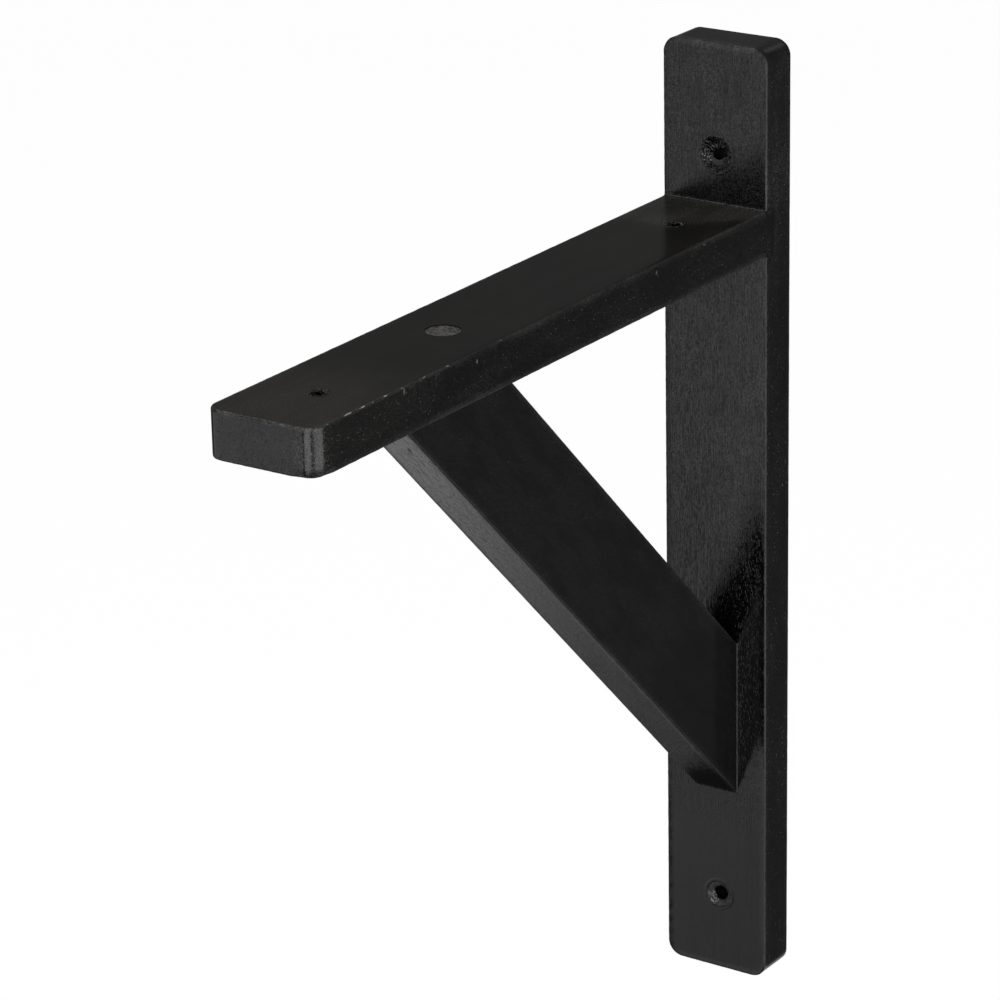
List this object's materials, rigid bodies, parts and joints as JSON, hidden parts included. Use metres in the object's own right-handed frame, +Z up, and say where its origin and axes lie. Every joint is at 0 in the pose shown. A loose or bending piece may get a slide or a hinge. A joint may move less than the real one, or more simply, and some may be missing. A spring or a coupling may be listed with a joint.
{
  "type": "wooden shelf bracket",
  "caption": "Black lacquered wooden shelf bracket: a tall back board for the wall, a flat arm housed into it to carry a shelf, and a mitred diagonal brace beneath.",
  "frame": {"origin": "on the wall face, half-way across the back board, level with the top of the arm, where a shelf meets the wall", "axes": "+Y into the wall, +Z up along the back board, +X to the right of someone who faces the wall"},
  "size_m": [0.045, 0.303, 0.38],
  "materials": {
    "lacquered_board": "black satin lacquer over straight-grained softwood",
    "lacquered_arm": "black satin lacquer, rubbed at its edges",
    "lacquered_brace": "black satin lacquer over straight-grained softwood",
    "plug_end": "matte, thinly painted wood",
    "screw_steel": "yellow zinc plating"
  },
  "bodies": {
    "root": {"back_board": "lacquered_board", "shelf_arm": "lacquered_arm", "brace": "lacquered_brace", "screw_plug": "plug_end", "brace_top_screw": "screw_steel", "brace_heel_screw": "screw_steel", "arm_screw_left": "screw_steel", "arm_screw_right": "screw_steel"}
  },
  "joints": []
}
